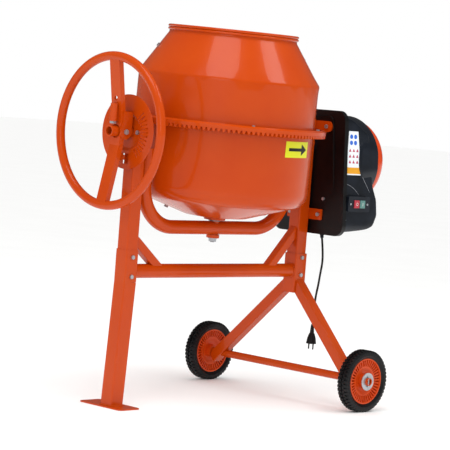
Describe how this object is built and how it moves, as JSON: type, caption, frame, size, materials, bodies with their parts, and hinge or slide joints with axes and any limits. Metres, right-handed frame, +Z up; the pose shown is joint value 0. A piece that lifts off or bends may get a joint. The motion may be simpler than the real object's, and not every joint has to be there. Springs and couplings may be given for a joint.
{
  "type": "concrete mixer",
  "caption": "Tilting-drum electric concrete mixer: toothed drum in a yoke between two posts, handwheel with locking disc, motor housing, wheeled stand.",
  "frame": {"origin": "on the floor under the middle of the overall length and width, the hanging cord left out", "axes": "+Z up; +X along the tilt axis from the handwheel to the motor; +Y is the side that the drum is emptied to"},
  "size_m": [1.1857, 0.764, 1.1929],
  "materials": {
    "orange_enamel": "glossy orange powder coat",
    "black_enamel": "satin black powder coat",
    "zinc": "bright zinc plating",
    "dark_plastic": "moulded blue-black plastic, fine grain",
    "orange_plastic": "moulded orange plastic",
    "orange_wheel": "moulded orange wheel plastic",
    "tyre_rubber": "black moulded rubber",
    "soft_rubber": "black rubber",
    "red_plastic": "red push button",
    "green_plastic": "green push button",
    "bare_steel": "turned steel",
    "motor_grey": "cast ribbed housing"
  },
  "bodies": {
    "frame": {"foot_plate": "orange_enamel", "left_leg": "orange_enamel", "left_post": "orange_enamel", "right_post": "orange_enamel", "cross_tube": "orange_enamel", "corner_braces": "orange_enamel", "wheel_frame_socket": "orange_enamel", "axle_legs": "orange_enamel", "axle_tube": "orange_enamel", "frame_bolts": "zinc", "bearing_sleeves": "orange_enamel", "disc_bracket": "orange_enamel", "locking_disc": "orange_enamel", "wheel_washers": "zinc", "back_plate": "black_enamel", "motor_straps": "orange_enamel", "strap_bolts": "zinc", "motor_cover": "dark_plastic", "vent_dome": "orange_plastic", "motor_mount": "black_enamel", "motor_body": "motor_grey", "drive_belt": "soft_rubber", "switch_box": "dark_plastic", "cable_gland": "dark_plastic", "power_cord": "soft_rubber", "strain_relief": "soft_rubber", "mains_plug": "soft_rubber"},
    "yoke": {"yoke_tube": "orange_enamel", "yoke_ears": "orange_enamel", "left_trunnion": "orange_enamel", "right_trunnion": "orange_enamel", "shaft_bushes": "bare_steel", "centre_boss": "orange_enamel", "spindle": "bare_steel", "spindle_nut": "zinc"},
    "drum": {"drum_lower": "orange_enamel", "drum_upper": "orange_enamel", "mouth_ring": "orange_enamel", "ring_gear": "orange_enamel", "drum_bolts": "zinc", "drum_hub": "orange_enamel", "drum_bearings": "bare_steel", "mixing_blades": "orange_enamel"},
    "pinion": {"pinion": "bare_steel", "pinion_shaft": "bare_steel", "driven_pulley": "bare_steel"},
    "motor_rotor": {"motor_pulley": "bare_steel"},
    "handwheel": {"handwheel_rim": "orange_enamel", "handwheel_spoke": "orange_enamel", "spoke_cheeks": "orange_enamel", "pivot_bolt": "zinc", "spring_sleeve": "orange_enamel", "lock_plunger": "zinc", "lock_tongue": "orange_enamel"},
    "near_wheel": {"near_tyre": "tyre_rubber", "near_wheel": "orange_wheel"},
    "far_wheel": {"far_tyre": "tyre_rubber", "far_wheel": "orange_wheel"},
    "off_button": {"off_button": "red_plastic"},
    "on_button": {"on_button": "green_plastic"}
  },
  "joints": [
    {"name": "drum_tilt", "type": "hinge", "parent": "frame", "child": "yoke", "pos_m": [-0.09215, 0, 0.844], "axis": [-1, 0, 0], "range_deg": [0, 135]},
    {"name": "drum_spin", "type": "hinge", "parent": "yoke", "child": "drum", "pos_m": [-0.09215, 0, 0.844], "axis": [0, -0.0349, 0.9994], "continuous": true},
    {"name": "pinion_spin", "type": "hinge", "parent": "yoke", "child": "pinion", "pos_m": [0.22785, 0, 0.844], "axis": [1, 0, 0], "continuous": true},
    {"name": "motor_spin", "type": "hinge", "parent": "frame", "child": "motor_rotor", "pos_m": [0.36985, 0, 0.642], "axis": [1, 0, 0], "continuous": true},
    {"name": "lock_swing", "type": "hinge", "parent": "yoke", "child": "handwheel", "pos_m": [-0.53215, 0, 0.844], "axis": [0, -0.9994, -0.0349], "range_deg": [0, 5]},
    {"name": "near_wheel_spin", "type": "hinge", "parent": "frame", "child": "near_wheel", "pos_m": [0.27385, -0.3505, 0.1], "axis": [0, 1, 0], "continuous": true},
    {"name": "far_wheel_spin", "type": "hinge", "parent": "frame", "child": "far_wheel", "pos_m": [0.27385, 0.3505, 0.1], "axis": [0, 1, 0], "continuous": true},
    {"name": "off_press", "type": "slide", "parent": "frame", "child": "off_button", "axis": [0, 1, 0], "range_m": [0, 0.003], "stiffness_N_per_m": 600},
    {"name": "on_press", "type": "slide", "parent": "frame", "child": "on_button", "axis": [0, 1, 0], "range_m": [0, 0.003], "stiffness_N_per_m": 600}
  ],
  "couplings": [
    {"joint": "pinion_spin", "follows": "drum_spin", "ratio": -9.4286},
    {"joint": "motor_spin", "follows": "drum_spin", "ratio": -34.571}
  ]
}
